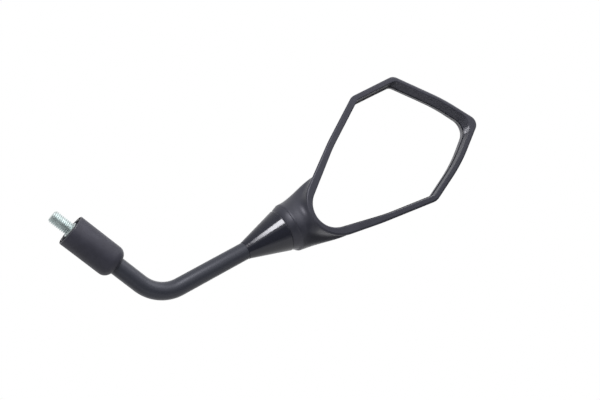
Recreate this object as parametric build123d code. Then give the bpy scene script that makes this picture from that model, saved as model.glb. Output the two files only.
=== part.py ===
from build123d import *
import math
import os

# Left-hand motorcycle mirror on a bent rod stem, as the rider sees it.
# Millimetres. The origin is on the stud axis at the shoulder that seats on the
# handlebar clamp. +Z runs up the stud axis, the glass faces -Y, the head lies
# towards -X. The head hangs on a ball joint at the end of the stem.

os.makedirs("parts", exist_ok=True)

# Mounting stud and adaptor
stud_dia = 10.0
stud_length = 16.0
stud_chamfer = 1.2
collar_dia = 12.4
collar_height = 6.0
collar_chamfer = 0.4
hex_flats = 17.0
hex_chamfer = 1.0
hex_chamfer_slope = 30.0
adaptor_hex_height = 10.0
foot_thread_dia = 10.0
foot_thread_length = 15.0
nut_height = 5.0
thread_clearance = 0.05
thread_runout = 1.0
thread_chamfer = 1.0
face_clearance = 0.1

# Stem
stem_dia = 14.0
bend_height = 83.1
bend_turn = 64.5
bend_radius = 28.5
stem_chamfer = 0.6

# Rubber boot over the adaptor and the lock nut
boot_dia = 24.7
boot_wall = 1.8
boot_lift = 0.3
boot_straight = 35.9
boot_shoulder = 7.0
boot_void = 32.0
boot_lip_round = 0.5

# Collar cone at the head end of the stem
cone_start = 77.9
cone_length = 34.5
cone_small_dia = 14.7
cone_large_dia = 35.8
cone_edge_round = 0.7
cone_lip_wall = 0.9
cone_floor_wall = 3.4

# Ball joint
ball_beyond_cone = 12.0
ball_dia = 15.0
shank_dia = 8.0
shank_depth = 14.0
shank_tip_gap = 0.4
shank_chamfer = 0.8
fit_gap = 0.05
liner_wall = 1.8
liner_start = 38.0
front_liner_end = 78.0
rear_liner_start = 95.0
liner_end = 150.0
neck_gap = 0.4
swing_room = 17.0
swing_clearance = 0.35
cup_od = 20.2
cup_start = 101.0
cup_hole_dia = 9.0
cup_back_wall = 0.6
seat_relief = 1.5
disc_od = 20.0
disc_id = 10.2
disc_wall = 0.8
disc_cone = 0.4
ring_height = 3.0
ring_hole_dia = 10.0
ring_pin_dia = 2.0
ring_pin_spread = 15.0
bore_clearance = 0.1
bore_length = 32.0

# Head, seen square on from the rider: u to the right, w up, v away from the rider
head_tilt = 13.5
rim_front = 21.0
# Sharp corners of the rim outline and their rounding
rim_corners = [
    (-112.7, -23.2, 8.0),
    (-151.4, -4.9, 8.0),
    (-163.3, 42.0, 150.0),
    (-167.1, 78.0, 8.0),
    (-125.0, 85.6, 150.0),
    (-84.3, 85.1, 12.0),
    (-40.0, 57.2, 150.0),
    (38.4, 3.1, 28.0),
    (-68.0, -17.4, 150.0),
]
# Width of the flat rim face beside each edge, at its start and at its end. The two
# edges that meet at the neck widen towards it.
face_low = 5.0
face_end = 3.8
face_top = 4.6
face_slant_far = 5.3
face_slant = 6.0
face_slant_neck = 10.6
face_bottom_neck = 9.2
face_bottom = 5.8
rim_faces = [(face_low, face_low), (face_end, face_end), (face_end, face_end),
             (face_top, face_top), (face_top, face_top), (face_slant_far, face_slant_far),
             (face_slant, face_slant_neck), (face_bottom_neck, face_bottom),
             (face_bottom, face_bottom)]
face_corner_round = [5.0, 6.0, 150.0, 13.0, 150.0, 6.0, 150.0, 19.0, 150.0]
# Slope of the wall inside the rim
wall_lean = 0.8
wall_lean_end = 3.0
wall_leans = [wall_lean, wall_lean_end, wall_lean_end] + [wall_lean] * 6
recess_depth = 9.0
rim_edge_round = 1.6
rim_inner_round = 0.8
# Moulded back: depth behind the rim face and how far the outline has shrunk there
shell_centre = (-90.0, 33.0)
shell_sections = [(0.0, 1.0), (8.0, 0.975), (18.0, 0.925), (27.0, 0.84), (33.0, 0.70),
                  (36.3, 0.50), (37.2, 0.30)]
shell_wall = 2.6
shell_wall_scale = 0.055

# Neck of the head: place along the stem axis, half width, half thickness, shift
# towards the glass and shift upwards. The last section ends inside the shell.
neck_sections = [(-6.9, 20.5, 20.2, 0.0, 0.3), (4.0, 21.5, 18.8, 0.0, 1.1),
                 (15.0, 24.0, 14.4, 0.0, 0.9), (27.0, 26.9, 11.0, 0.0, 0.8),
                 (44.0, 28.2, 9.5, 0.5, 1.5), (62.0, 20.0, 7.0, 2.0, 0.5)]
neck_shoulder_round = 2.4
neck_blend = 8.0
neck_ball_end = -5.0

# Glass, foam and backing plate
glass_apex = 7.0
glass_curve = 1400.0
glass_wall = 2.0
glass_gap = 0.4
foam_wall = 1.0
foam_inset = 3.0
plate_back = 14.0
ledge_depth = 0.5

# Backing plate screws, at (u, w)
screw_places = [(-135.0, 8.0), (-141.0, 58.0), (-92.0, 66.0), (-56.0, 2.0)]
screw_dia = 2.9
screw_length = 10.0
screw_tip_gap = 0.5
screw_head_dia = 5.6
screw_head_height = 1.0
screw_slot = 0.8
screw_slot_length = 3.4
screw_slot_depth = 0.6
screw_sink = 1.4
screw_fit = 0.05
plate_hole_clearance = 0.1
sink_clearance = 0.2
boss_dia = 8.0

# Rounding limits, how far a cutter runs past what it cuts, and a match tolerance
smallest_round = 1.0
round_share = 0.95
cut_over = 1.0
tolerance = 0.01

# Worked out from the sizes above
turn = math.radians(bend_turn)
leg_dir = Vector(-math.sin(turn), 0, math.cos(turn))
bend_vertex = Vector(0, 0, bend_height)
bend_tangent = bend_radius * math.tan(turn / 2)
cone_end = cone_start + cone_length
ball_centre = bend_vertex + leg_dir * (cone_end + ball_beyond_cone)
hex_bottom = collar_height
hex_top = hex_bottom + adaptor_hex_height
nut_bottom = hex_top + face_clearance
stem_bottom = nut_bottom + nut_height
ball_radius = ball_dia / 2
liner_inner = ball_radius + fit_gap
liner_outer = liner_inner + liner_wall
seat_radius = liner_outer + fit_gap
cup_back = seat_radius + cup_back_wall
disc_height = disc_wall + disc_cone
ring_front = cup_back + 2 * disc_height
ring_back = ring_front + ring_height
bore_radius = cup_od / 2 + bore_clearance
cone_mouth_radius = cone_large_dia / 2 - cone_lip_wall
cone_cup_radius = math.hypot(cone_mouth_radius, ball_beyond_cone)
neck_end_radius = cone_cup_radius - neck_gap
stem_end = cone_end + ball_beyond_cone - cone_cup_radius - cone_floor_wall
shank_start = stem_end - cone_end - ball_beyond_cone

# Frames: the head's own frame, and the stem axis frame with +Z into the head
head_frame = Location(tuple(ball_centre), (head_tilt, 0, 0))
axis_frame = Plane(origin=ball_centre, x_dir=(0, -1, 0), z_dir=leg_dir).location


def polar(radius, degrees):
    """Point on a circle in the half plane, its angle taken from the stem side."""
    angle = math.radians(degrees)
    return (radius * math.sin(angle), -radius * math.cos(angle))


def arc_about(centre, start, end):
    """Shorter arc from start to end about a centre."""
    across = (start[0] + end[0]) / 2 - centre[0]
    up = (start[1] + end[1]) / 2 - centre[1]
    reach = math.dist(start, centre) / math.hypot(across, up)
    return ThreePointArc(start, (centre[0] + across * reach, centre[1] + up * reach), end)


def revolved(profile):
    """Solid of revolution about Z from a face drawn on XZ."""
    return revolve(Plane.XZ * profile, Axis.Z, 360)


def hexagon(flats, bottom, height):
    """Hexagon prism with both ends turned to a chamfer."""
    corner = flats / math.sqrt(3)
    prism = Pos(0, 0, bottom) * extrude(RegularPolygon(corner, 6), height)
    turned = Pos(0, 0, bottom + height / 2) * Cylinder(corner, height)
    drop = hex_chamfer * math.tan(math.radians(hex_chamfer_slope))
    turned = chamfer(turned.edges().filter_by(GeomType.CIRCLE), drop, hex_chamfer)
    return prism & turned


def make_mount_stud():
    stud = Pos(0, 0, -stud_length / 2) * Cylinder(stud_dia / 2, stud_length)
    stud = chamfer(stud.edges().sort_by(Axis.Z)[0], stud_chamfer)
    collar = Pos(0, 0, collar_height / 2) * Cylinder(collar_dia / 2, collar_height)
    collar = chamfer(collar.edges().filter_by(GeomType.CIRCLE).sort_by(Axis.Z)[0], collar_chamfer)
    body = stud + collar + hexagon(hex_flats, hex_bottom, adaptor_hex_height)
    bore_depth = foot_thread_length - nut_height + thread_runout
    bore = Cylinder(foot_thread_dia / 2 + thread_clearance, bore_depth)
    return body - Pos(0, 0, hex_top - bore_depth / 2) * bore


def make_lock_nut():
    hole = Cylinder(foot_thread_dia / 2 + thread_clearance, nut_height * 3)
    return hexagon(hex_flats, nut_bottom, nut_height) - Pos(0, 0, nut_bottom) * hole


def make_stem():
    start = Vector(0, 0, stem_bottom)
    bend_start = bend_vertex - Vector(0, 0, bend_tangent)
    bend_end = bend_vertex + leg_dir * bend_tangent
    far = bend_vertex + leg_dir * stem_end
    bend = TangentArc(bend_start, bend_end, tangent=(0, 0, 1))
    path = Wire([Line(start, bend_start).edge(), bend.edge(), Line(bend_end, far).edge()])
    rod = sweep(Plane.XY.offset(stem_bottom) * Circle(stem_dia / 2), path=path)
    foot = rod.edges().sort_by(Axis.Z)[0]
    rod = chamfer(foot, stem_chamfer)
    spigot = Pos(0, 0, stem_bottom - foot_thread_length / 2)
    spigot = spigot * Cylinder(foot_thread_dia / 2, foot_thread_length)
    spigot = chamfer(spigot.edges().sort_by(Axis.Z)[0], thread_chamfer)
    hole_depth = shank_depth + shank_tip_gap
    hole = Plane(origin=far - leg_dir * hole_depth, z_dir=leg_dir).location
    hole = hole * Pos(0, 0, hole_depth) * Cylinder(shank_dia / 2 + thread_clearance, 2 * hole_depth)
    return rod + spigot - hole


def make_base_boot():
    radius = boot_dia / 2
    grip = stem_dia / 2 + thread_clearance
    inner = radius - boot_wall
    bottom = boot_lift
    straight_top = boot_lift + boot_straight
    centre = radius - boot_shoulder
    top = straight_top + math.sqrt(boot_shoulder ** 2 - (grip - centre) ** 2)
    edges = [
        Line((inner, bottom), (radius, bottom)),
        Line((radius, bottom), (radius, straight_top)),
        arc_about((centre, straight_top), (radius, straight_top), (grip, top)),
        Line((grip, top), (grip, boot_void)),
        Line((grip, boot_void), (inner, boot_void)),
        Line((inner, boot_void), (inner, bottom)),
    ]
    boot = revolved(make_face(edges))
    mouth = boot.edges().filter_by(GeomType.CIRCLE).group_by(Axis.Z)[0]
    return fillet(mouth, boot_lip_round)


def make_cone_collar():
    grip = stem_dia / 2 + thread_clearance
    small = cone_small_dia / 2
    large = cone_large_dia / 2
    front = -ball_beyond_cone
    start = front - cone_length
    floor = shank_start
    hole = shank_dia / 2 + thread_clearance
    cup_floor = -math.sqrt(cone_cup_radius ** 2 - hole ** 2)
    edges = [
        Line((grip, start), (small, start)),
        Line((small, start), (large, front)),
        Line((large, front), (cone_mouth_radius, front)),
        arc_about((0, 0), (cone_mouth_radius, front), (hole, cup_floor)),
        Line((hole, cup_floor), (hole, floor)),
        Line((hole, floor), (grip, floor)),
        Line((grip, floor), (grip, start)),
    ]
    cone = revolved(make_face(edges))
    circles = cone.edges().filter_by(GeomType.CIRCLE)
    outer = circles.filter_by(lambda e: abs(e.radius - large) < tolerance)
    half_angle = (math.pi / 2 - math.atan((large - small) / cone_length)) / 2
    largest_round = round_share * cone_lip_wall * math.tan(half_angle)
    cone = fillet(outer, min(cone_edge_round, largest_round))
    return axis_frame * cone


def make_ball_stud():
    shank_length = shank_depth - shank_start
    shank = Pos(0, 0, -shank_length / 2) * Cylinder(shank_dia / 2, shank_length)
    shank = chamfer(shank.edges().sort_by(Axis.Z)[0], shank_chamfer)
    return axis_frame * (shank + Sphere(ball_radius))


def spherical_liner(start, end):
    """Ring between two concentric spheres, from one polar angle to another."""
    edges = [
        arc_about((0, 0), polar(liner_inner, start), polar(liner_inner, end)),
        Line(polar(liner_inner, end), polar(liner_outer, end)),
        arc_about((0, 0), polar(liner_outer, end), polar(liner_outer, start)),
        Line(polar(liner_outer, start), polar(liner_inner, start)),
    ]
    return axis_frame * revolved(make_face(edges))


def make_pressure_cup():
    outer = cup_od / 2
    hole = cup_hole_dia / 2
    seat_start = polar(seat_radius, cup_start)
    hole_front = math.sqrt(seat_radius ** 2 - hole ** 2)
    edges = [
        Line((outer, seat_start[1]), (outer, cup_back)),
        Line((outer, cup_back), (hole, cup_back)),
        Line((hole, cup_back), (hole, hole_front)),
        arc_about((0, 0), (hole, hole_front), seat_start),
        Line(seat_start, (outer, seat_start[1])),
    ]
    return axis_frame * revolved(make_face(edges))


def make_disc_spring(front, opens_back):
    """Conical disc spring. The pair is stacked with the large edges together."""
    inner = disc_id / 2
    outer = disc_od / 2
    rise = disc_cone if opens_back else 0.0
    drop = 0.0 if opens_back else disc_cone
    profile = Polyline(
        (inner, front + drop), (outer, front + rise), (outer, front + rise + disc_wall),
        (inner, front + drop + disc_wall), (inner, front + drop))
    return axis_frame * revolved(make_face(profile))


def make_retaining_ring():
    ring = Pos(0, 0, ring_front + ring_height / 2)
    ring = ring * Cylinder(bore_radius - thread_clearance, ring_height)
    ring -= Pos(0, 0, ring_front) * Cylinder(ring_hole_dia / 2, ring_height * 3)
    for side in (-1, 1):
        ring -= Pos(side * ring_pin_spread / 2, 0, ring_back) * Cylinder(ring_pin_dia / 2, ring_height)
    return axis_frame * ring


def inset_corners(corners, insets):
    """Corners of the outline after both ends of each edge have moved inwards."""
    moved = []
    count = len(corners)
    for i in range(count):
        a, b = corners[i], corners[(i + 1) % count]
        length = math.dist(a, b)
        inward = ((b[1] - a[1]) / length, (a[0] - b[0]) / length)
        at_start, at_end = insets[i]
        start = (a[0] + inward[0] * at_start, a[1] + inward[1] * at_start)
        end = (b[0] + inward[0] * at_end, b[1] + inward[1] * at_end)
        moved.append((start, (end[0] - start[0], end[1] - start[1])))
    result = []
    for i in range(count):
        (p, d), (q, e) = moved[i - 1], moved[i]
        cross = d[0] * e[1] - d[1] * e[0]
        reach = ((q[0] - p[0]) * e[1] - (q[1] - p[1]) * e[0]) / cross
        result.append((p[0] + d[0] * reach, p[1] + d[1] * reach))
    return result


def head_plane(depth):
    """Plane across the head, its depth counted back from the rim face."""
    return Plane(origin=(0, depth - rim_front, 0), x_dir=(1, 0, 0), z_dir=(0, -1, 0))


def outline_face(corners, rounds, depth):
    """Face of a rounded outline on the plane at a depth behind the rim face."""
    wire = FilletPolyline(*corners, radius=rounds, close=True)
    return head_plane(depth) * make_face(wire)


def inset_face(insets, rounds, depth):
    corners = inset_corners([c[:2] for c in rim_corners], insets)
    return outline_face(corners, rounds, depth)


def scaled_face(scale, depth):
    """The rim outline shrunk towards the middle of the shell."""
    cu, cw = shell_centre
    corners = [(cu + (u - cu) * scale, cw + (w - cw) * scale) for u, w, _ in rim_corners]
    return outline_face(corners, [r * scale for _, _, r in rim_corners], depth)


def opening_insets(extra=0.0):
    """Insets of the opening at the foot of the inner wall."""
    return [(start + lean + extra, end + lean + extra)
            for (start, end), lean in zip(rim_faces, wall_leans)]


def make_shell_outside():
    shell = loft([scaled_face(scale, depth) for depth, scale in shell_sections])
    front = shell.faces().sort_by(Axis.Y)[0]
    return fillet(front.edges(), rim_edge_round)


def make_shell_inside():
    sections = []
    for depth, scale in shell_sections[2:]:
        sections.append(scaled_face(scale - shell_wall_scale, depth - shell_wall))
    first = scaled_face(shell_sections[2][1] - shell_wall_scale, plate_back - ledge_depth)
    return loft([first] + sections)


def make_neck():
    """Neck of the head, in the stem axis frame turned into the head frame."""
    sections = []
    for place, across, through, shift, rise in neck_sections:
        sections.append(Pos(shift, rise, place) * Ellipse(through, across))
    neck = loft(sections)
    front = neck.edges().sort_by(Axis.Z)[0]
    neck = fillet(front, neck_shoulder_round)
    rim_radius = math.sqrt(neck_end_radius ** 2 - neck_ball_end ** 2)
    ball_end = make_face([
        Line((0, neck_ball_end), (rim_radius, neck_ball_end)),
        arc_about((0, 0), (rim_radius, neck_ball_end), (0, -neck_end_radius)),
        Line((0, -neck_end_radius), (0, neck_ball_end)),
    ])
    return neck + revolved(ball_end)


def make_bore():
    """Ball seat, swing hole for the shank and the bore for cup, springs and ring."""
    slope = math.tan(math.radians(swing_room))
    waist = (shank_dia / 2 + swing_clearance) / math.cos(math.radians(swing_room))
    reach = neck_end_radius + cut_over
    hole = revolved(make_face(Polyline(
        (0, 0), (waist, 0), (waist + reach * slope, -reach), (0, -reach), (0, 0))))
    seat = Sphere(seat_radius)
    start = polar(seat_radius, cup_start)[1] - seat_relief
    bore = Pos(0, 0, start + bore_length / 2) * Cylinder(bore_radius, bore_length)
    return hole + seat + bore


def make_housing():
    shell = make_shell_outside()
    to_head = head_frame.inverse()
    neck = to_head * axis_frame * make_neck()
    outside = shell + neck
    outside = fillet(new_edges(shell, neck, combined=outside), neck_blend)
    recess = loft([
        inset_face(rim_faces, face_corner_round, -tolerance),
        inset_face(opening_insets(), face_corner_round, recess_depth)], ruled=True)
    pocket = inset_face(opening_insets(), face_corner_round, recess_depth)
    pocket = extrude(pocket, recess_depth - plate_back)
    socket = Pos(0, 0, ring_back / 2) * Cylinder(bore_radius + shell_wall, ring_back)
    socket = to_head * axis_frame * socket
    bosses = []
    for u, w in screw_places:
        boss = head_plane(plate_back) * Pos(u, w, 0) * Circle(boss_dia / 2)
        bosses.append(extrude(boss, -shell_sections[-1][0]))
    inside = make_shell_inside()
    body = outside - recess - pocket - inside
    rim = body.faces().filter_by(Axis.Y).sort_by(Axis.Y)[0]
    body = fillet(rim.inner_wires()[0].edges(), rim_inner_round)
    body += (socket & outside) - recess - pocket
    for boss in bosses:
        body += boss & outside
    for u, w in screw_places:
        hole = head_plane(plate_back) * Pos(u, w, 0) * Circle(screw_dia / 2 + screw_fit)
        body -= extrude(hole, -screw_length)
    body -= to_head * axis_frame * make_bore()
    return head_frame * body


def dome(depth):
    """Ball whose surface is the glass curve at a depth behind the glass front."""
    cu, cw = shell_centre
    centre = glass_apex - rim_front + glass_curve
    return Pos(cu, centre, cw) * Sphere(glass_curve - depth)


def opening_block(extra, length):
    """Block that fills the opening from the rim face back, with a gap all round."""
    rounds = [max(r + glass_gap - extra, smallest_round) for r in face_corner_round]
    return extrude(inset_face(opening_insets(extra), rounds, 0.0), -length)


def curved_sheet(extra, front, wall):
    """Sheet between two glass curves, inset from the opening."""
    block = opening_block(extra, plate_back + cut_over)
    return (block & dome(front)) - dome(front + wall)


def make_mirror_glass():
    return head_frame * curved_sheet(glass_gap, 0.0, glass_wall)


def make_foam_pad():
    return head_frame * curved_sheet(glass_gap + foam_inset, glass_wall, foam_wall)


def make_backing_plate():
    plate = opening_block(glass_gap, plate_back) & dome(glass_wall + foam_wall)
    for u, w in screw_places:
        place = head_plane(plate_back) * Pos(u, w, 0)
        hole = place * Circle(screw_dia / 2 + plate_hole_clearance)
        plate -= extrude(hole, plate_back)
        sink = place * Pos(0, 0, screw_sink) * Circle(screw_head_dia / 2 + sink_clearance)
        plate -= extrude(sink, plate_back)
    return head_frame * plate


def make_plate_screw(u, w):
    head_bottom = head_plane(plate_back) * Pos(u, w, screw_sink)
    head = extrude(head_bottom * Circle(screw_head_dia / 2), screw_head_height)
    shank = extrude(head_bottom * Circle(screw_dia / 2), screw_tip_gap - screw_length)
    screw = head + shank
    head_top = head_bottom * Pos(0, 0, screw_head_height)
    for across, along in ((screw_slot, screw_slot_length), (screw_slot_length, screw_slot)):
        screw -= extrude(head_top * Rectangle(across, along), -screw_slot_depth)
    return head_frame * screw


def write(name, part):
    part.label = name
    export_step(part, "parts/" + name + ".step")


write("mount_stud", make_mount_stud())
write("lock_nut", make_lock_nut())
write("stem", make_stem())
write("base_boot", make_base_boot())
write("cone_collar", make_cone_collar())
write("ball_stud", make_ball_stud())
write("liner_front", spherical_liner(liner_start, front_liner_end))
write("liner_rear", spherical_liner(rear_liner_start, liner_end))
write("pressure_cup", make_pressure_cup())
write("disc_spring_1", make_disc_spring(cup_back, True))
write("disc_spring_2", make_disc_spring(cup_back + disc_height, False))
write("retaining_ring", make_retaining_ring())
write("housing", make_housing())
write("backing_plate", make_backing_plate())
for number, (u, w) in enumerate(screw_places, start=1):
    write("plate_screw_" + str(number), make_plate_screw(u, w))
write("foam_pad", make_foam_pad())
write("mirror_glass", make_mirror_glass())
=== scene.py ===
import math

import bmesh
import bpy
from mathutils import Matrix, Vector


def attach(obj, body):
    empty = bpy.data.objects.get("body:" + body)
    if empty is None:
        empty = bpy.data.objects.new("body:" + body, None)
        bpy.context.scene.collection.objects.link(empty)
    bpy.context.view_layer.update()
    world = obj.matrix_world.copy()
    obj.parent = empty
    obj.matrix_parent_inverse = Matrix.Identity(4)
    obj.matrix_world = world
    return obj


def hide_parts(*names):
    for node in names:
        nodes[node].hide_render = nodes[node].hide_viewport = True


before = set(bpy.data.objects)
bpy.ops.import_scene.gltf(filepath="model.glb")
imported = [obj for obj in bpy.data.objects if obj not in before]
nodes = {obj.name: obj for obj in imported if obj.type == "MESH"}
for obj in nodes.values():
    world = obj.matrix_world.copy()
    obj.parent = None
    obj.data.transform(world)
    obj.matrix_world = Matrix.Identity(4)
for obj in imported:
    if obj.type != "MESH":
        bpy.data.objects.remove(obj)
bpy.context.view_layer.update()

mm = 0.001
print("frame loaded:", len(nodes), "nodes")

roundSides = 96
mergeDistance = 0.001 * mm
sameHeight = 0.01 * mm
noiseLow, noiseHigh = 0.3, 0.7  # nearly all of a noise lies between these


# Colours are written as sRGB hex and turned to linear here
def linear(hexCode):
    parts = [int(hexCode[i:i + 2], 16) / 255 for i in (1, 3, 5)]
    return [c / 12.92 if c <= 0.04045 else ((c + 0.055) / 1.055) ** 2.4 for c in parts] + [1.0]


# Adds one node, with its inputs set by value or linked from another node's output
def addNode(tree, kind, inputs=None, **settings):
    node = tree.nodes.new(kind)
    for name, value in settings.items():
        setattr(node, name, value)
    for name, value in (inputs or {}).items():
        if isinstance(value, bpy.types.NodeSocket):
            tree.links.new(value, node.inputs[name])
        else:
            node.inputs[name].default_value = value
    return node


# Gives the material, its empty tree and the coordinates that its patterns read
def newMaterial(name):
    material = bpy.data.materials.new(name)
    material.use_nodes = True
    tree = material.node_tree
    tree.nodes.clear()
    place = addNode(tree, "ShaderNodeTexCoord").outputs["Object"]
    return material, tree, place


# Stands a camera or lamp at a place. It looks against its third axis
def standAt(thing, place, right, up, back):
    thing.matrix_world = Matrix.Translation(place) @ Matrix((right, up, back)).transposed().to_4x4()


# Camera, matched to the photograph's view. Its place is in mm
cameraFacts = {
    "place": (80.04, -613.47, -68.81),
    "towardCamera": (0.31233, -0.90395, -0.2921),
    "imageUp": (-0.77627, -0.06561, -0.62698),
    "lens": 50.0,
    "sensor": 36.0,
}


def makeCamera(facts):
    data = bpy.data.cameras.new("camera")
    data.lens = facts["lens"]
    data.sensor_width = facts["sensor"]
    camera = bpy.data.objects.new("camera", data)
    bpy.context.scene.collection.objects.link(camera)
    back = Vector(facts["towardCamera"]).normalized()
    right = Vector(facts["imageUp"]).cross(back).normalized()
    standAt(camera, Vector(facts["place"]) * mm, right, back.cross(right), back)
    bpy.context.scene.camera = camera


makeCamera(cameraFacts)
print("camera placed")

# Studio: white surroundings, a pale floor, soft boxes and black nets that keep light off.
# Lengths are in metres. Patterns are a size in mm and a detail
studio = {
    "ambient": 0.45,
    "white": "#ffffff",
    "floorCentre": (-0.08, 0.0, -0.42),
    "floorRadius": 1.5,
    "floorFade": (0.45, 1.1),
    "floorColours": ("#ededec", "#f1f1f0"),
    "floorRoughness": 0.9,
    "fibre": (30.0, 4.0),
    "lamps": [
        # name, place, aim, direction of the long edge, its length, width, power
        ("keyStrip", (-0.193, -0.290, -0.20), (-0.09, 0.0, 0.126), (0.32, -0.84, 0.44), 0.20, 0.10, 1.3),
        ("fillBox", (-1.00, -0.54, 0.0), (-0.08, 0.0, 0.10), (0.0, 0.0, 1.0), 0.6, 0.6, 2.8),
        ("sideBox", (-1.1, -0.1, 0.1), (-0.08, 0.0, 0.1), (0.0, 0.0, 1.0), 0.8, 0.6, 1.5),
        ("backBox", (-0.50, 1.00, 0.45), (-0.08, 0.0, 0.1), (1.0, 0.0, 0.0), 1.2, 0.8, 3.5),
    ],
    "nets": [
        # name, centre, size along x, y and z, share of the light that it stops
        ("netFront", (0.27, -0.82, 0.06), (1.10, 0.0, 1.00), 0.8),
        ("netHigh", (-0.36, -0.80, 0.70), (1.60, 0.0, 0.90), 0.8),
        ("netTop", (-0.25, 0.03, 0.45), (0.46, 0.52, 0.0), 0.85),
        ("netRight", (0.80, -0.30, 0.10), (0.0, 1.00, 0.80), 0.45),
    ],
    "netFade": (0.8, 1.0),
    "netColours": ("#101318", "#15181e"),
    "weave": (4.0, 2.0),
}


# White where it is seen, in the glass and the metal too, and dimmer as light on matt surfaces
def makeSurroundings(facts):
    world = bpy.data.worlds.new("surroundings")
    bpy.context.scene.world = world
    world.use_nodes = True
    tree = world.node_tree
    tree.nodes.clear()
    path = addNode(tree, "ShaderNodeLightPath")
    cameraOrGloss = addNode(tree, "ShaderNodeMath", {
        0: path.outputs["Is Camera Ray"], 1: path.outputs["Is Glossy Ray"]}, operation="MAXIMUM")
    seen = addNode(tree, "ShaderNodeMath", {
        0: cameraOrGloss.outputs[0], 1: path.outputs["Is Transmission Ray"]}, operation="MAXIMUM")
    strength = addNode(tree, "ShaderNodeMapRange", {
        "Value": seen.outputs[0], "To Min": facts["ambient"], "To Max": 1.0})
    light = addNode(tree, "ShaderNodeBackground", {
        "Color": linear(facts["white"]), "Strength": strength.outputs[0]})
    addNode(tree, "ShaderNodeOutputWorld", {"Surface": light.outputs[0]})


def makeLamp(name, place, aim, longEdge, length, width, power):
    data = bpy.data.lights.new(name, "AREA")
    data.shape = "RECTANGLE"
    data.size = width
    data.size_y = length
    data.energy = power
    lamp = bpy.data.objects.new(name, data)
    bpy.context.scene.collection.objects.link(lamp)
    back = (Vector(place) - Vector(aim)).normalized()
    across = Vector(longEdge).cross(back).normalized()
    standAt(lamp, place, across, back.cross(across), back)
    lamp.visible_camera = False


def makeFloor(facts):
    bpy.ops.object.select_all(action="DESELECT")
    bpy.ops.mesh.primitive_circle_add(vertices=roundSides, radius=facts["floorRadius"], fill_type="NGON",
                                      location=facts["floorCentre"])
    floor = bpy.context.object
    floor.name = "floor"
    bpy.ops.object.transform_apply(location=True)
    # Matt paper, slightly cloudy with its fibres
    material, tree, place = newMaterial("palePaperSweep")
    fibreMm, detail = facts["fibre"]
    dark, light = facts["floorColours"]
    fibre = addNode(tree, "ShaderNodeTexNoise", {
        "Vector": place, "Scale": 1 / (fibreMm * mm), "Detail": detail})
    colour = addNode(tree, "ShaderNodeMix", {
        "Factor": fibre.outputs["Fac"], "A": linear(dark), "B": linear(light)}, data_type="RGBA")
    matt = addNode(tree, "ShaderNodeBsdfPrincipled", {
        "Base Color": colour.outputs["Result"], "Roughness": facts["floorRoughness"]})
    # The sweep runs out into the white surroundings
    fadeFrom, fadeTo = facts["floorFade"]
    distance = addNode(tree, "ShaderNodeVectorMath", {0: place}, operation="LENGTH")
    fade = addNode(tree, "ShaderNodeMapRange", {
        "Value": distance.outputs["Value"], "From Min": fadeFrom, "From Max": fadeTo})
    glow = addNode(tree, "ShaderNodeEmission", {"Color": linear(facts["white"]), "Strength": 1.0})
    both = addNode(tree, "ShaderNodeMixShader", {
        0: fade.outputs[0], 1: matt.outputs[0], 2: glow.outputs[0]})
    addNode(tree, "ShaderNodeOutputMaterial", {"Surface": both.outputs[0]})
    floor.data.materials.append(material)


def makeNet(facts, name, centre, size, stopped):
    # The turn and the scale of the plane, by the axis that the net is square to
    stances = [
        ((0, math.pi / 2, 0), (size[2], size[1], 1)),
        ((math.pi / 2, 0, 0), (size[0], size[2], 1)),
        ((0, 0, 0), (size[0], size[1], 1)),
    ]
    turn, scale = stances[size.index(0.0)]
    bpy.ops.object.select_all(action="DESELECT")
    bpy.ops.mesh.primitive_plane_add(size=1.0, location=centre, rotation=turn)
    net = bpy.context.object
    net.name = name
    net.scale = scale
    bpy.ops.object.transform_apply(location=True, rotation=True, scale=True)
    # Black woven net: part of the light passes through
    material, tree, place = newMaterial("blackNet")
    weaveMm, detail = facts["weave"]
    dark, light = facts["netColours"]
    weave = addNode(tree, "ShaderNodeTexNoise", {
        "Vector": place, "Scale": 1 / (weaveMm * mm), "Detail": detail})
    colour = addNode(tree, "ShaderNodeMix", {
        "Factor": weave.outputs["Fac"], "A": linear(dark), "B": linear(light)}, data_type="RGBA")
    matt = addNode(tree, "ShaderNodeBsdfDiffuse", {"Color": colour.outputs["Result"]})
    # The net thins out from its middle to its rim, so it leaves no hard edge in a reflection
    fadeFrom, fadeTo = facts["netFade"]
    middle = addNode(tree, "ShaderNodeMapping", {
        "Vector": place,
        "Location": centre,
        "Scale": [span / 2 or 1.0 for span in size]}, vector_type="TEXTURE")
    distance = addNode(tree, "ShaderNodeVectorMath", {0: middle.outputs[0]}, operation="LENGTH")
    thin = addNode(tree, "ShaderNodeMapRange", {
        "Value": distance.outputs["Value"], "From Min": fadeFrom, "From Max": fadeTo,
        "To Min": 1.0 - stopped, "To Max": 1.0})
    clear = addNode(tree, "ShaderNodeBsdfTransparent")
    both = addNode(tree, "ShaderNodeMixShader", {
        0: thin.outputs[0], 1: matt.outputs[0], 2: clear.outputs[0]})
    addNode(tree, "ShaderNodeOutputMaterial", {"Surface": both.outputs[0]})
    net.data.materials.append(material)
    net.visible_camera = False


def makeStudio(facts):
    bpy.context.scene.view_settings.view_transform = "Standard"
    makeSurroundings(facts)
    for lamp in facts["lamps"]:
        makeLamp(*lamp)
    makeFloor(facts)
    for net in facts["nets"]:
        makeNet(facts, *net)


makeStudio(studio)
print("studio built")


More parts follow.
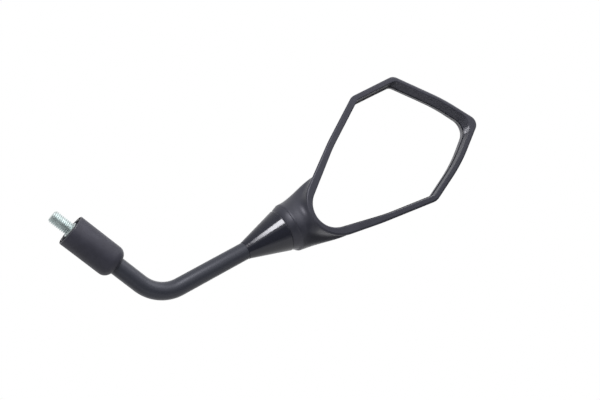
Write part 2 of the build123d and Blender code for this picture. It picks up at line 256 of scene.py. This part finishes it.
# Makes a finish. "patterns" are noises, each a size in mm and a detail. "tone" names the one that goes
# from the dark colour to the light over the part "contrast" of its range, "gloss" the one that moves the
# roughness, and "relief" the one for the bump, which is a strength and a depth in mm
def makeFinish(name, facts):
    material, tree, place = newMaterial(name)
    patterns = {}
    for pattern, (sizeMm, detail) in facts["patterns"].items():
        patterns[pattern] = addNode(tree, "ShaderNodeTexNoise", {
            "Vector": place, "Scale": 1 / (sizeMm * mm), "Detail": detail}).outputs["Fac"]
    if "cellMm" in facts:
        patterns["cells"] = addNode(tree, "ShaderNodeTexVoronoi", {
            "Vector": place, "Scale": 1 / (facts["cellMm"] * mm)}).outputs["Distance"]
    low, high = facts["contrast"]
    tone = addNode(tree, "ShaderNodeMapRange", {
        "Value": patterns[facts["tone"]], "From Min": low, "From Max": high})
    colour = addNode(tree, "ShaderNodeMix", {
        "Factor": tone.outputs[0],
        "A": linear(facts["dark"]),
        "B": linear(facts["light"])}, data_type="RGBA")
    roughness = facts["roughness"]
    if "gloss" in facts:
        roughness = addNode(tree, "ShaderNodeMapRange", {
            "Value": patterns[facts["gloss"]], "From Min": noiseLow, "From Max": noiseHigh,
            "To Min": roughness[0], "To Max": roughness[1]}).outputs[0]
    shader = addNode(tree, "ShaderNodeBsdfPrincipled", {
        "Base Color": colour.outputs["Result"],
        "Metallic": facts.get("metallic", 0.0),
        "Roughness": roughness,
        "Specular IOR Level": facts.get("specular", 0.5),
        "Specular Tint": linear(facts.get("tint", "#ffffff"))})
    if "relief" in facts:
        strength, depthMm = facts["bump"]
        bump = addNode(tree, "ShaderNodeBump", {
            "Height": patterns[facts["relief"]], "Strength": strength, "Distance": depthMm * mm})
        tree.links.new(bump.outputs[0], shader.inputs["Normal"])
    addNode(tree, "ShaderNodeOutputMaterial", {"Surface": shader.outputs[0]})
    return material


def dress(material, *names):
    for name in names:
        mesh = nodes[name].data
        mesh.materials.clear()
        mesh.materials.append(material)


# Zinc plated steel, turned and rolled: a bluish white metal with fine cloudy passivation
zincFacts = {
    "dark": "#bfc9c9",
    "light": "#d0d9d9",
    "metallic": 1.0,
    "roughness": (0.36, 0.43),
    "patterns": {"cloud": (5.0, 4.0), "fine": (0.8, 2.0)},
    "tone": "cloud",
    "contrast": (noiseLow, noiseHigh),
    "gloss": "cloud",
    "relief": "fine",
    "bump": (0.03, 0.02),
}
zinc = makeFinish("zincPlatedSteel", zincFacts)
dress(zinc, "mount_stud", "lock_nut", "plate_screw_1", "plate_screw_2", "plate_screw_3", "plate_screw_4")

# Turned steel, hidden in the head: bright, with its marks drawn coarser than they are
turnedFacts = {
    "dark": "#a9abb0",
    "light": "#bdbfc3",
    "metallic": 1.0,
    "roughness": 0.3,
    "patterns": {"marks": (0.8, 3.0)},
    "tone": "marks",
    "contrast": (0.0, 1.0),
    "relief": "marks",
    "bump": (0.2, 0.02),
}
dress(makeFinish("turnedSteel", turnedFacts), "ball_stud", "pressure_cup", "retaining_ring")

# Spring steel, blackened and oiled: a dark metal with a dull shine
springFacts = {
    "dark": "#3c3d42",
    "light": "#4a4b50",
    "metallic": 1.0,
    "roughness": 0.42,
    "patterns": {"marks": (0.8, 3.0)},
    "tone": "marks",
    "contrast": (0.0, 1.0),
    "relief": "marks",
    "bump": (0.2, 0.02),
}
dress(makeFinish("blackenedSpringSteel", springFacts), "disc_spring_1", "disc_spring_2")

# Natural acetal, moulded: milky white with faint flow marks
linerFacts = {
    "dark": "#dcdcd4",
    "light": "#e8e8e0",
    "roughness": 0.4,
    "patterns": {"flow": (5.0, 3.0), "fine": (0.4, 2.0)},
    "tone": "flow",
    "contrast": (0.0, 1.0),
    "relief": "fine",
    "bump": (0.2, 0.05),
}
dress(makeFinish("naturalAcetal", linerFacts), "liner_front", "liner_rear")

# Black ABS, moulded and left plain behind the glass
plateFacts = {
    "dark": "#1d1d1f",
    "light": "#242426",
    "roughness": 0.5,
    "patterns": {"flow": (5.0, 3.0), "fine": (0.4, 2.0)},
    "tone": "flow",
    "contrast": (0.0, 1.0),
    "relief": "fine",
    "bump": (0.2, 0.05),
}
dress(makeFinish("plateAbs", plateFacts), "backing_plate")

# Closed cell foam, cut from sheet: black with no shine
foamFacts = {
    "dark": "#1f1f20",
    "light": "#2c2c2d",
    "roughness": 0.95,
    "patterns": {"flow": (5.0, 3.0), "fine": (0.4, 2.0)},
    "tone": "flow",
    "contrast": (0.0, 1.0),
    "relief": "fine",
    "bump": (0.2, 0.05),
}
dress(makeFinish("closedCellFoam", foamFacts), "foam_pad")

# Satin powder coat on the stem: fine orange peel that blurs the highlight
stemCoatFacts = {
    "dark": "#2e3037",
    "light": "#34363e",
    "roughness": (0.33, 0.40),
    "specular": 0.4,
    "tint": "#f3f3ff",
    "patterns": {"peel": (1.1, 2.0), "speck": (0.3, 3.0)},
    "tone": "speck",
    "contrast": (noiseLow, noiseHigh),
    "gloss": "speck",
    "relief": "peel",
    "bump": (0.25, 0.05),
}
dress(makeFinish("satinPowderCoat", stemCoatFacts), "stem")

# Gloss enamel on the cone: nearly a mirror, with a slow waviness
coneFacts = {
    "dark": "#1a1c25",
    "light": "#1f202a",
    "roughness": (0.12, 0.16),
    "tint": "#faf9ff",
    "patterns": {"wave": (9.0, 1.0), "fine": (4.0, 2.0)},
    "tone": "wave",
    "contrast": (0.0, 1.0),
    "gloss": "fine",
    "relief": "wave",
    "bump": (0.1, 0.04),
}
dress(makeFinish("glossEnamel", coneFacts), "cone_collar")

# Moulded EPDM rubber: matt, with a faint bloom and a spark eroded grain, drawn coarse enough to show
rubberFacts = {
    "dark": "#25252e",
    "light": "#2e2e38",
    "roughness": (0.50, 0.62),
    "specular": 0.45,
    "tint": "#f5f4ff",
    "patterns": {"bloom": (7.0, 3.0), "fine": (0.45, 2.0)},
    "tone": "bloom",
    "contrast": (noiseLow, noiseHigh),
    "gloss": "fine",
    "relief": "fine",
    "bump": (0.35, 0.08),
}
rubber = makeFinish("mouldedRubber", rubberFacts)
dress(rubber, "base_boot")

# Injection moulded ABS: satin, slightly patchy gloss. Its eroded cells are drawn coarse enough to show
shellFacts = {
    "dark": "#25262e",
    "light": "#2c2d36",
    "roughness": (0.38, 0.45),
    "tint": "#f3f2ff",
    "patterns": {"patch": (9.0, 3.0)},
    "cellMm": 0.5,
    "tone": "patch",
    "contrast": (noiseLow, noiseHigh),
    "gloss": "patch",
    "relief": "cells",
    "bump": (0.06, 0.02),
}
dress(makeFinish("texturedAbs", shellFacts), "housing")

# Silvered float glass: a clean mirror, its ground edge dull and grey green
glassFacts = {
    "silver": "#ffffff",
    "edge": "#59645f",
    "edgeRoughness": 0.45,
    "haze": (0.010, 0.016),
    "wave": (60.0, 1.0),
    "tilt": 13.5,
    "faceFrom": (0.80, 0.95),
}


# What faces along the tilted front is silvered, and the rest is the ground edge
def silveredGlass(facts):
    material, tree, place = newMaterial("silveredGlass")
    tilt = math.radians(facts["tilt"])
    faceFrom, faceTo = facts["faceFrom"]
    facing = addNode(tree, "ShaderNodeVectorMath", {
        0: addNode(tree, "ShaderNodeTexCoord").outputs["Normal"],
        1: (0.0, -math.cos(tilt), -math.sin(tilt))}, operation="DOT_PRODUCT")
    face = addNode(tree, "ShaderNodeMapRange", {
        "Value": facing.outputs["Value"], "From Min": faceFrom, "From Max": faceTo})
    waveMm, detail = facts["wave"]
    wave = addNode(tree, "ShaderNodeTexNoise", {
        "Vector": place, "Scale": 1 / (waveMm * mm), "Detail": detail})
    clearest, haziest = facts["haze"]
    haze = addNode(tree, "ShaderNodeMapRange", {
        "Value": wave.outputs["Fac"], "From Min": noiseLow, "From Max": noiseHigh,
        "To Min": clearest, "To Max": haziest})
    roughness = addNode(tree, "ShaderNodeMix", {
        "Factor": face.outputs[0], "A": facts["edgeRoughness"], "B": haze.outputs[0]}, data_type="FLOAT")
    colour = addNode(tree, "ShaderNodeMix", {
        "Factor": face.outputs[0],
        "A": linear(facts["edge"]),
        "B": linear(facts["silver"])}, data_type="RGBA")
    shader = addNode(tree, "ShaderNodeBsdfPrincipled", {
        "Base Color": colour.outputs["Result"],
        "Metallic": 1.0,
        "Roughness": roughness.outputs[0]})
    addNode(tree, "ShaderNodeOutputMaterial", {"Surface": shader.outputs[0]})
    return material


dress(silveredGlass(glassFacts), "mirror_glass")
print("materials on the frame")


def applyModifier(piece, kind, **settings):
    modifier = piece.modifiers.new("shape", kind)
    for name, value in settings.items():
        setattr(modifier, name, value)
    bpy.context.view_layer.objects.active = piece
    bpy.ops.object.modifier_apply(modifier="shape")


def cutWith(piece, tool, operation):
    applyModifier(piece, "BOOLEAN", object=tool, operation=operation, solver="EXACT")
    bpy.data.objects.remove(tool)


def cylinderAt(name, diameter, bottom, height, vertices=roundSides):
    bpy.ops.object.select_all(action="DESELECT")
    bpy.ops.mesh.primitive_cylinder_add(vertices=vertices, radius=diameter / 2 * mm, depth=height * mm,
                                        location=(0, 0, (bottom + height / 2) * mm))
    piece = bpy.context.object
    piece.name = name
    bpy.ops.object.transform_apply(location=True)
    return piece


# Draws a line in the plane of x and z through corners of radius and height in mm, on an emptied plane
def drawProfile(name, corners, closed):
    bpy.ops.object.select_all(action="DESELECT")
    bpy.ops.mesh.primitive_plane_add(size=1.0)
    piece = bpy.context.object
    piece.name = name
    bpy.ops.object.mode_set(mode="EDIT")
    bpy.ops.mesh.select_all(action="SELECT")
    bpy.ops.mesh.delete(type="VERT")
    mesh = bmesh.from_edit_mesh(piece.data)
    points = [mesh.verts.new((radius * mm, 0.0, height * mm)) for radius, height in corners]
    following = points[1:] + points[:1] if closed else points[1:]
    for a, b in zip(points, following):
        mesh.edges.new((a, b))
    bmesh.update_edit_mesh(piece.data)
    bpy.ops.object.mode_set(mode="OBJECT")
    return piece


# Bevels the round edges that lie at one height
def bevelAtHeight(piece, height, amount, segments=1):
    bpy.ops.object.mode_set(mode="EDIT")
    bpy.ops.mesh.select_mode(type="EDGE")
    bpy.ops.mesh.select_all(action="DESELECT")
    mesh = bmesh.from_edit_mesh(piece.data)
    for edge in mesh.edges:
        edge.select = all(abs(v.co.z - height * mm) < sameHeight for v in edge.verts)
    bmesh.update_edit_mesh(piece.data)
    bpy.ops.mesh.bevel(offset=amount * mm, segments=segments)
    bpy.ops.object.mode_set(mode="OBJECT")


# The adaptor with its rolled thread, in mm. Its plain solid has the thread's outer size
adaptorFacts = {
    "threadDia": 10.0,
    "pitch": 1.5,
    "threadDepth": 0.92,
    # One pitch, as shares of the depth and of the pitch: root flat, flank, crest flat, flank
    "threadProfile": [(1.0, 0.0), (1.0, 0.25), (0.0, 0.5625), (0.0, 0.6875), (1.0, 1.0)],
    "studLength": 16.0,
    "tipChamfer": 1.2,
    "crestTrim": 0.02,
    "grooveHeight": 1.0,
    "grooveTrim": 0.1,
    "collarDia": 12.4,
    "collarHeight": 6.0,
    "collarChamfer": 0.4,
    "hexFlats": 17.0,
    "hexHeight": 10.0,
    "hexBevel": 0.5,
    "holeDia": 10.1,
    "holeDepth": 11.0,
    # How far each form runs on into the next, so that no two faces lie in one plane
    "overlap": {"stud": 0.5, "groove": 0.2, "collar": 0.1, "hole": 1.0},
    "steps": 72,
    "smoothBelow": 25,
}


def makeThread(facts):
    pitch = facts["pitch"]
    crest = facts["threadDia"] / 2
    tip = -facts["studLength"]
    # The thread starts below the tip and ends above the shoulder, and is cut flat at both ends
    spareTurns = 4
    start = tip - 2.5 * pitch
    cutLow = tip - pitch
    cutHigh = 0.6 * pitch
    turns = math.ceil(facts["studLength"] / pitch) + spareTurns
    depth = facts["threadDepth"]
    corners = [(crest - deep * depth, start + up * pitch) for deep, up in facts["threadProfile"]]
    thread = drawProfile("threadedAdaptor", corners, closed=False)
    applyModifier(thread, "SCREW", axis="Z", angle=2 * math.pi, screw_offset=pitch * mm, iterations=turns,
                  steps=facts["steps"], render_steps=facts["steps"], use_merge_vertices=False)
    bpy.ops.object.mode_set(mode="EDIT")
    bpy.ops.mesh.select_all(action="SELECT")
    bpy.ops.mesh.remove_doubles(threshold=mergeDistance)
    for height, side in ((cutLow, -1), (cutHigh, 1)):
        bpy.ops.mesh.select_all(action="SELECT")
        bpy.ops.mesh.bisect(plane_co=(0, 0, height * mm), plane_no=(0, 0, side), use_fill=True,
                            clear_outer=True)
    bpy.ops.mesh.select_all(action="SELECT")
    bpy.ops.mesh.normals_make_consistent(inside=False)
    bpy.ops.object.mode_set(mode="OBJECT")
    # The blank gives the stud its length and the chamfer of its tip
    blank = cylinderAt("blank", facts["threadDia"] - facts["crestTrim"], tip,
                       facts["studLength"] + facts["overlap"]["stud"])
    bevelAtHeight(blank, tip, facts["tipChamfer"])
    cutWith(thread, blank, "INTERSECT")
    return thread


def makeAdaptor(facts):
    overlap = facts["overlap"]
    adaptor = makeThread(facts)
    grooveDia = facts["threadDia"] - 2 * facts["threadDepth"] - facts["grooveTrim"]
    grooveHeight = facts["grooveHeight"]
    groove = cylinderAt("groove", grooveDia, -grooveHeight, grooveHeight + overlap["groove"])
    cutWith(adaptor, groove, "UNION")
    collar = cylinderAt("collar", facts["collarDia"], 0.0, facts["collarHeight"] + overlap["collar"])
    bevelAtHeight(collar, 0.0, facts["collarChamfer"])
    cutWith(adaptor, collar, "UNION")
    acrossCorners = facts["hexFlats"] / math.cos(math.pi / 6)
    flats = cylinderAt("flats", acrossCorners, facts["collarHeight"], facts["hexHeight"], vertices=6)
    bevelAtHeight(flats, facts["collarHeight"], facts["hexBevel"])
    cutWith(adaptor, flats, "UNION")
    top = facts["collarHeight"] + facts["hexHeight"]
    holeDepth = facts["holeDepth"]
    hole = cylinderAt("hole", facts["holeDia"], top - holeDepth, holeDepth + overlap["hole"])
    cutWith(adaptor, hole, "DIFFERENCE")
    adaptor.data.materials.clear()
    adaptor.data.materials.append(zinc)
    bpy.ops.object.select_all(action="DESELECT")
    adaptor.select_set(True)
    bpy.context.view_layer.objects.active = adaptor
    bpy.ops.object.shade_smooth_by_angle(angle=math.radians(facts["smoothBelow"]))
    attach(adaptor, "mount")
    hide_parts("mount_stud")
    print("adaptor:", len(adaptor.data.polygons), "faces")


makeAdaptor(adaptorFacts)

# Smoother rubber at the boot's mouth, with a lighter colour there that is a painted highlight: the light
# that the lip's downward faces catch is painted into their colour
smoothLipPaintedHighlightFacts = {
    "dark": "#3b3b42",
    "light": "#46464d",
    "roughness": (0.26, 0.34),
    "patterns": {"cut": (1.5, 2.0)},
    "tone": "cut",
    "contrast": (0.0, 1.0),
    "gloss": "cut",
}

# The rubber boot, turned from one wall section, with the thick lip at its mouth, in mm
bootFacts = {
    "outerDia": 24.7,
    "mouthDia": 18.4,
    "voidDia": 21.1,
    "gripDia": 14.1,
    "mouthHeight": 0.3,
    "lipTop": 4.2,
    "lipSlope": 1.2,
    "lipRound": 0.9,
    "lipSegments": 4,
    "paintedLipHighlightBelow": -0.3,  # faces that point down more than this get the lower roughness and the painted highlight
    "straightTop": 36.2,
    "shoulder": 7.0,
    "shoulderSteps": 14,
    "voidTop": 32.0,
    "steps": 96,
    "smoothBelow": 30,
}


def makeBoot(facts):
    outer = facts["outerDia"] / 2
    mouth = facts["mouthDia"] / 2
    inside = facts["voidDia"] / 2
    grip = facts["gripDia"] / 2
    low = facts["mouthHeight"]
    # The shoulder is an arc from the straight wall in to where the boot grips the stem
    bend = facts["shoulder"]
    centre = outer - bend
    reach = math.acos((grip - centre) / bend)
    section = [(mouth, low), (outer, low)]
    for step in range(facts["shoulderSteps"] + 1):
        angle = reach * step / facts["shoulderSteps"]
        section.append((centre + bend * math.cos(angle), facts["straightTop"] + bend * math.sin(angle)))
    section += [(grip, facts["voidTop"]), (inside, facts["voidTop"])]
    section += [(inside, facts["lipTop"] + facts["lipSlope"]), (mouth, facts["lipTop"])]
    boot = drawProfile("rubberBoot", section, closed=True)
    bpy.ops.object.mode_set(mode="EDIT")
    bpy.ops.mesh.select_all(action="SELECT")
    bpy.ops.mesh.spin(steps=facts["steps"], angle=2 * math.pi, center=(0, 0, 0), axis=(0, 0, 1))
    bpy.ops.mesh.select_all(action="SELECT")
    bpy.ops.mesh.remove_doubles(threshold=mergeDistance)
    bpy.ops.mesh.normals_make_consistent(inside=False)
    bpy.ops.object.mode_set(mode="OBJECT")
    bevelAtHeight(boot, low, facts["lipRound"], facts["lipSegments"])
    boot.data.materials.append(rubber)
    boot.data.materials.append(makeFinish("smoothLipPaintedHighlight", smoothLipPaintedHighlightFacts))
    # The lip's faces that point down take the second material: lower roughness and a painted highlight in
    # their colour
    for face in boot.data.polygons:
        if face.normal.z < facts["paintedLipHighlightBelow"] and face.center.z < (low + facts["lipRound"]) * mm:
            face.material_index = 1
    bpy.ops.object.shade_smooth_by_angle(angle=math.radians(facts["smoothBelow"]))
    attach(boot, "arm")
    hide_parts("base_boot")
    print("boot:", len(boot.data.polygons), "faces")


makeBoot(bootFacts)

print("finished")
